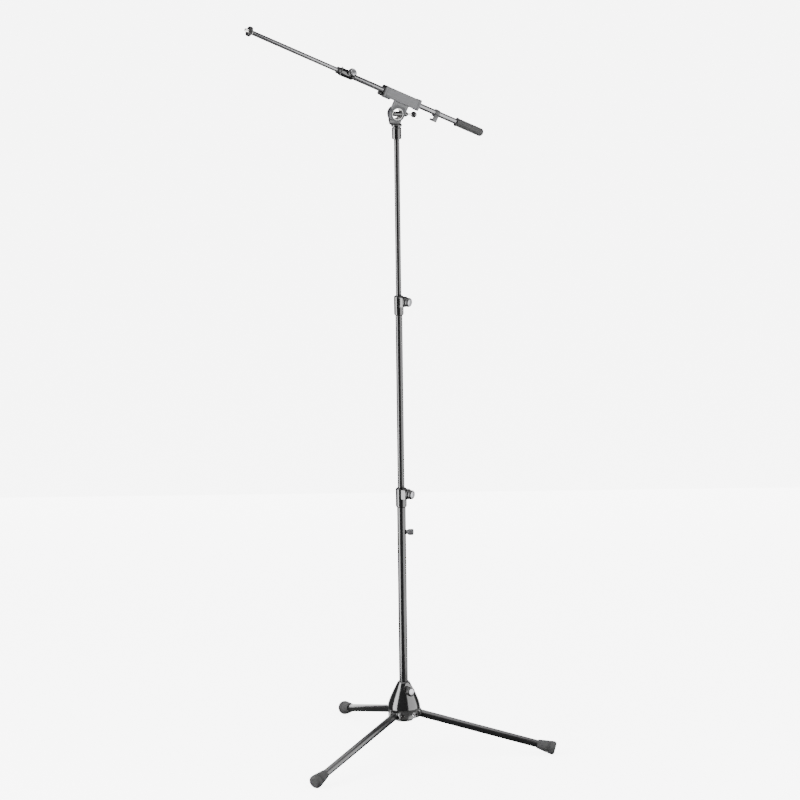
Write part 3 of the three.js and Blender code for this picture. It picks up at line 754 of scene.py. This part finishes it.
def swivel_socket():
    """The lower casting: a socket for the rod, a collar and a ribbed yoke that carries a ring."""
    local = place(PIVOT, UP, (1, 0, 0))
    ring = turned_about(swivel_ring(RING_BACK, SOCKET_FACE, False), ALONG_Y)
    half = [(14, 31), (15.2, 24), (18, 15), (20.5, 8)]
    yoke_outline = [(-x, y) for x, y in half] + [(x, y) for x, y in reversed(half)]
    yoke = turned_about(slab(yoke_outline, RING_BACK, SOCKET_FACE), ALONG_Y)
    ribs = []
    for side in (-1, 1):
        rib = [(side * 13, 31), (side * 15.4, 31), (side * 18.4, 15.5), (side * 16, 15.5)]
        ribs.append(turned_about(slab(rib, RING_BACK - 0.4, SOCKET_FACE), ALONG_Y))
    opening = turned_about(rod(RING_HOLE, -18, 0, ROUND), ALONG_Y)
    socket = lathe(fillet([
        (0, -42), (8.1, -42), (8.1, -71), (12.9, -71), (13.5, -70), (13.5, -40.6), (12.3, -39.6),
        (12.3, -36.8), (15.5, -35.2), (15.5, -30.2), (12, -27.5), (0, -27.5),
    ], 0.7), ROUND)
    flats = [
        turned_about(slab([(12.9, -5), (20, -5), (20, 5), (12.9, 5)], -68.5, -43), spin(angle))
        for angle in (126, 306)
    ]
    whole = joined(cut(joined(ring, yoke, *ribs), opening), cut(socket, *flats))
    piece("swivel_socket", whole, local, bevel=0.3, smooth=32)


def sleeve_cylinder(radius, low, high, drop=0.0, sides=64):
    """A cylinder along the boom, in the sleeve's frame, at a depth under the boom's axis."""
    return turned_about(rod(radius, low, high, sides), shift(z=BOOM_LIFT - drop) @ ALONG_X)


def on_handle():
    """Local frame on the clamp screw, with Z outward and zero at the middle of the pivot."""
    return place(PIVOT + TILT_AXIS * 3.3 * MM, joint_axis("clamp_screw_turn"), TILT_AXIS)


def boom_sleeve():
    """The upper casting: a square sleeve for the boom over a neck and the second ring."""
    local = place(PIVOT, BOOM_UP, BOOM_WAY)
    ring = turned_about(swivel_ring(SLEEVE_FACE, RING_FRONT, True), ALONG_Y)
    neck = slab([
        (-RING_RADIUS, SLEEVE_FACE), (RING_RADIUS, SLEEVE_FACE),
        (RING_RADIUS, RING_FRONT), (-RING_RADIUS, RING_FRONT),
    ], 8, 33)
    lengthwise = shift(z=BOOM_LIFT) @ ALONG_X
    body = slab(rounded_rectangle(SLEEVE_SIDE, SLEEVE_SIDE, 4), SLEEVE_BACK, SLEEVE_FRONT)
    rear_half = SLEEVE_SIDE + 1.2
    rear_band = slab(rounded_rectangle(rear_half, rear_half, 5), SLEEVE_BACK, SLEEVE_BACK + 5)
    front_half = SLEEVE_SIDE + 0.5
    shoulder = slab(rounded_rectangle(front_half, front_half, 4.4), 60, SLEEVE_FRONT - 0.5)
    channel = lathe(fillet([(0, 36), (5.5, 36), (7.6, 39), (7.6, 62), (6.8, 63), (0, 63)], 1.2), 64)
    channel = turned_about(channel, shift(z=BOOM_LIFT - PLUG_DROP) @ ALONG_X)
    whole = joined(turned_about(body, lengthwise), turned_about(rear_band, lengthwise),
                   turned_about(shoulder, lengthwise), channel, neck, ring)
    to_local = local.inverted() @ on_handle()
    removed = [
        sleeve_cylinder(SLEEVE_BUSH + FIT, -60, 70, sides=ROUND),
        sleeve_cylinder(PLUG + 0.3, 50, 70, PLUG_DROP),
        slab([(-45, -6), (-32, -6), (-32, 6), (-45, 6)], 28, 33.5),
        turned_about(rod(RING_HOLE, -10, 12, ROUND), ALONG_Y),
        turned_about(rod(SHANK + FIT, 12, 30), to_local),
        turned_about(rod(BARREL + 0.3, 22.3, 40, 64), to_local),
    ]
    for side in (-1, 1):
        low, high = sorted((side * (SLEEVE_SIDE - 0.3), side * (SLEEVE_SIDE + 2)))
        for level in (38.5, 46, 53.5):
            groove = slab([(-44, low), (57, low), (57, high), (-44, high)], level - 0.3, level + 0.3)
            removed.append(groove)
    piece("boom_sleeve", cut(whole, *removed), local, bevel=0.5, smooth=32)


def sleeve_fittings():
    """The front bush with its end cap, and the plug under the boom."""
    cap = slab(rounded_rectangle(14.3, 14.3, 4.2), SLEEVE_FRONT + 0.3, SLEEVE_FRONT + 1.8)
    cap = cut(cap, turned_about(rod(PLUG + 0.3, 60, 70), shift(x=-PLUG_DROP)))
    flange = joined(rod(SLEEVE_BUSH, 34, SLEEVE_FRONT + 1.8, ROUND), cap)
    front = cut(flange, rod(BOOM_TUBE + FIT, 30, 70, ROUND))
    piece("sleeve_bush_front", front, on_boom(), bevel=0.3)
    local = place(PIVOT, BOOM_UP, BOOM_WAY)
    plug = lathe([(0, 50.5), (PLUG, 50.5), (PLUG, 74), *arc((0, 74), PLUG, 0, 90)], 64)
    plug = turned_about(plug, shift(z=BOOM_LIFT - PLUG_DROP) @ ALONG_X)
    by_bush = sleeve_cylinder(SLEEVE_BUSH + 0.3, 40, 67.2, sides=ROUND)
    by_boom = sleeve_cylinder(BOOM_TUBE + 0.5, 60, 90, sides=ROUND)
    plug = cut(plug, by_bush, by_boom)
    piece("sleeve_plug", plug, local, bevel=0.3)


def hollow_pivot():
    """The tube through both rings, with a flange behind the socket's ring."""
    inside = 15.2
    outside = RING_HOLE - FIT
    tube = lathe(fillet([
        (inside, -16.8), (20, -16.8), (20, -15.3), (outside, -15.3), (outside, 10.2), (inside, 10.2),
        (inside, -16.8),
    ], 0.4, 2), ROUND)
    local = place(PIVOT, TILT_AXIS, BOOM_WAY)
    screw_hole = turned_about(rod(SHANK + FIT, 5, 30), local.inverted() @ on_handle())
    piece("hollow_pivot", cut(tube, screw_hole), local)


def clamp_screw():
    """The screw across the hollow pivot: a barrel inside it, then shank, hub, rod and ball."""
    local = on_handle()
    barrel = lathe(fillet([
        (0, -12), (6.2, -12), (BARREL, -11), (BARREL, 12), (6.2, 13), (0, 13),
    ], 0.6), ROUND)
    piece("handle_barrel", cut(barrel, rod(SHANK + FIT, -9, 16)), local, bevel=0.3)
    shank = lathe(fillet([(0, -8.5), (SHANK, -8.5), (SHANK, 25.7), (0, 25.7)], 0.4), 64)
    piece("handle_shank", shank, local)
    rod_hole = HANDLE_ROD + FIT
    hub = lathe(fillet([
        (0, 26), (SHANK + FIT, 26), (SHANK + FIT, 22.6), (6.4, 22.6), (BARREL, 23.4), (BARREL, 28.8),
        (4.5, 33.4), (rod_hole, 33.4), (rod_hole, 30), (0, 30),
    ], 0.6), ROUND)
    piece("handle_hub", hub, local)
    piece("handle_rod", rod(HANDLE_ROD, 30.3, 45.7), local)
    ball = lathe([(0, 46), (rod_hole, 46), (rod_hole, 43.8), *arc((0, 52), 8.7, -70.5, 90, 24)], 72)
    piece("handle_ball", ball, local, smooth=50)


# ------------------------------------------------------------------ boom pieces


def boom_hook():
    """The cable clip: a band round the boom over a block with a slot open at the back."""
    half = 6.5
    bore = BOOM_TUBE + FIT
    band = [(bore, -half), (10.4, -half), (10.4, half), (bore, half), (bore, -half)]
    band = lathe(fillet(band, 0.4, 2), ROUND)
    shape = [(4, 9), *arc((22, 6), 3, 90, 0, 5), *arc((22, -9), 3, 0, -90, 5),
             *arc((19.6, -11), 1, -90, -180, 3), (18.6, 1.5), *arc((17.6, 1.5), 1, 0, 90, 3),
             *arc((12.4, 1.5), 1, 90, 180, 3), (11.4, -11), (4, -9.4)]
    whole = cut(joined(band, slab(shape, -half, half)), rod(bore, -10, 10, ROUND))
    piece("boom_hook", whole, on_boom(-BOOM_UP) @ shift(z=-114), bevel=0.5)


def grip():
    """The rubber grip with fine slanting ribs and a rounded end, and the collar before it."""
    radius = 11.75
    bore = BOOM_TUBE + FIT

    def ribbed(r, z, angle):
        if r < 11 or not -262.5 < z < -186:
            return r, z  # the bore and the smooth ends
        return r - 0.35 * (0.5 + 0.5 * math.sin(z * math.pi + 24 * angle)), z

    rows = [(radius, z) for z in range(-261, -184)]
    mouth = fillet([(radius, -185), (radius, -184), (10.5, -184)], 0.6)
    outline = [(0, -271), *arc((radius - 9, -262), 9, -90, -5, 12), *rows, *mouth,
               (bore, -184), (bore, -262.3), (0, -262.3)]
    piece("boom_grip", lathe(outline, 144, ribbed), on_boom(), smooth=45)
    collar = lathe(fillet([
        (bore, -183.7), (12.6, -183.7), (13, -183), (13, -181), (11, -180), (bore, -180), (bore, -183.7),
    ], 0.4, 2))
    piece("grip_collar", collar, on_boom())


def thread_stud():
    """The microphone thread: a plated stud with turned thread ridges and a hole in its end."""
    pitch = 1.5875
    crest = 4.7
    root = 4.1
    ridges = []
    height = 507.4
    while height < 523.5:
        ridges += [(crest, height), (crest, height + pitch * 0.15)]
        ridges += [(root, height + pitch * 0.5), (root, height + pitch * 0.65)]
        height += pitch
    spigot = [(0, 483), (5.2, 483), (5.2, 503.3), (7.1, 503.3), (7.5, 503.7), (7.5, 505.6), (7.1, 506)]
    end = [(crest, 525.2), (4, 526), (2.6, 526), (2.4, 525.8), (2.4, 517), (0, 517)]
    outline = [*spigot, (4.2, 506), *ridges, *end]
    piece("thread_stud", lathe(outline, ROUND), on_boom(), smooth=28)


def lock_ring():
    """The knurled ring that locks a microphone clip on the thread."""
    outline = fillet([
        (4.8, 506.5), (12.5, 506.5), (14.5, 508), (14.5, 515), (13, 516.5), (4.8, 516.5), (4.8, 506.5),
    ], 0.5, 2)

    def knurled(r, z, angle):
        if r < 13.5:
            return r, z
        return r - 0.8 * (0.5 + 0.5 * math.cos(24 * angle)), z

    piece("lock_ring", lathe(outline, 192, knurled), on_boom(), smooth=30)


# ------------------------------------------------------------------ stage, lights and camera


def pale_stage():
    """A plain pale floor and a far backdrop, in metres. They neither reflect in the pieces nor light them."""
    material, _, shader = node_material("pale_stage", (0.6, 0.6, 0.6), 0.9, specular=0.0)
    shader.inputs["Emission Color"].default_value = (1, 1, 1, 1)
    shader.inputs["Emission Strength"].default_value = 6
    half = 60
    inner = half - 1
    under = -0.2
    top = 70
    floor = slab([(-half, -half), (half, -half), (half, half), (-half, half)], under, 0)
    wall = lathe([(inner, under), (half, under), (half, top), (inner, top), (inner, under)], ROUND)
    for name, sketch in (("floor", floor), ("backdrop", wall)):
        shown = as_object(name, sketch)
        shown.data.materials.append(material)
        shown.visible_glossy = False
        shown.visible_diffuse = False
        shown.visible_shadow = False


def softbox(name, centre, target, width, height, power):
    light = bpy.data.lights.new(name, "AREA")
    light.shape = "RECTANGLE"
    light.size = width
    light.size_y = height
    light.energy = power
    holder = bpy.data.objects.new(name, light)
    bpy.context.scene.collection.objects.link(holder)
    holder.visible_camera = False
    holder.location = centre
    holder.rotation_euler = (Vector(target) - Vector(centre)).to_track_quat("-Z", "Y").to_euler()


CAMERA_AZIMUTH = 66  # degrees about the column, from +X
CAMERA_DISTANCE = 16.0  # metres from the column's axis
CAMERA_HEIGHT = 4.840  # metres over the floor
CAMERA_PITCH = 13.385  # degrees below level
CAMERA_ROLL = -0.738  # degrees
CAMERA_LENS = 262.8  # millimetres, for a sensor 36 mm wide


def around(azimuth, distance, height):
    """A place about the column, in metres, at an azimuth in degrees counted from the camera's."""
    angle = math.radians(CAMERA_AZIMUTH + azimuth)
    return (COLUMN.x + distance * math.cos(angle), COLUMN.y + distance * math.sin(angle), height)


def studio_light():
    """Soft boxes left, right and behind, an even light from above and a dim surround."""
    world = bpy.data.worlds.new("studio")
    world.use_nodes = True
    background = world.node_tree.nodes["Background"]
    background.inputs["Color"].default_value = (1, 1, 1, 1)
    background.inputs["Strength"].default_value = 0.1
    bpy.context.scene.world = world
    waist = (COLUMN.x, COLUMN.y, 0.95)
    ankle = (COLUMN.x, COLUMN.y, 0.35)
    softbox("left_box", around(-67, 3.2, 0.95), waist, width=1.8, height=4.6, power=420)
    softbox("right_box", around(68, 3.2, 0.95), waist, width=4.7, height=4.6, power=400)
    softbox("back_box", around(180, 3.0, 0.35), ankle, width=4.0, height=2.0, power=85)
    sun = bpy.data.lights.new("overhead", "SUN")
    sun.energy = 5
    sun.angle = math.radians(80)
    holder = bpy.data.objects.new("overhead", sun)
    bpy.context.scene.collection.objects.link(holder)
    holder.rotation_euler = (math.radians(12), 0, math.radians(CAMERA_AZIMUTH))


def camera():
    lens = bpy.data.cameras.new("camera")
    lens.sensor_width = 36
    lens.sensor_fit = "HORIZONTAL"
    lens.lens = CAMERA_LENS
    lens.clip_end = 400
    holder = bpy.data.objects.new("camera", lens)
    bpy.context.scene.collection.objects.link(holder)
    angle = math.radians(CAMERA_AZIMUTH)
    pitch = math.radians(CAMERA_PITCH)
    roll = math.radians(CAMERA_ROLL)
    level = Vector((-math.cos(angle), -math.sin(angle), 0))
    forward = level * math.cos(pitch) - UP * math.sin(pitch)
    right = level.cross(UP)
    above = right.cross(forward)
    rolled_right = right * math.cos(roll) + above * math.sin(roll)
    rolled_up = above * math.cos(roll) - right * math.sin(roll)
    turn = Matrix((rolled_right, rolled_up, -forward)).transposed().to_4x4()
    holder.matrix_world = Matrix.Translation(around(0, CAMERA_DISTANCE, CAMERA_HEIGHT)) @ turn
    bpy.context.scene.camera = holder


# ------------------------------------------------------------------ build


def finish_cad_nodes():
    """CAD nodes that stay in view get the fine finish of their slot."""
    for node, shown in frame["nodes"].items():
        for material_slot in shown.material_slots:
            material_slot.material = MATERIALS[slot_of[node]]


finish_cad_nodes()
camera()
studio_light()
pale_stage()
base_bell()
column_foot()
legs()
column_tubes()
cable_hook()
column_clamp("lower_clamp", "lower_knob_turn", LOWER_TUBE, MIDDLE_TUBE, 15.8, 22.5, 13)
column_clamp("upper_clamp", "upper_knob_turn", MIDDLE_TUBE, UPPER_ROD, 13.8, 21, 11.5)
swivel_socket()
boom_sleeve()
sleeve_fittings()
hollow_pivot()
clamp_screw()
boom_tubes()
boom_clamp()
boom_hook()
grip()
thread_stud()
lock_ring()
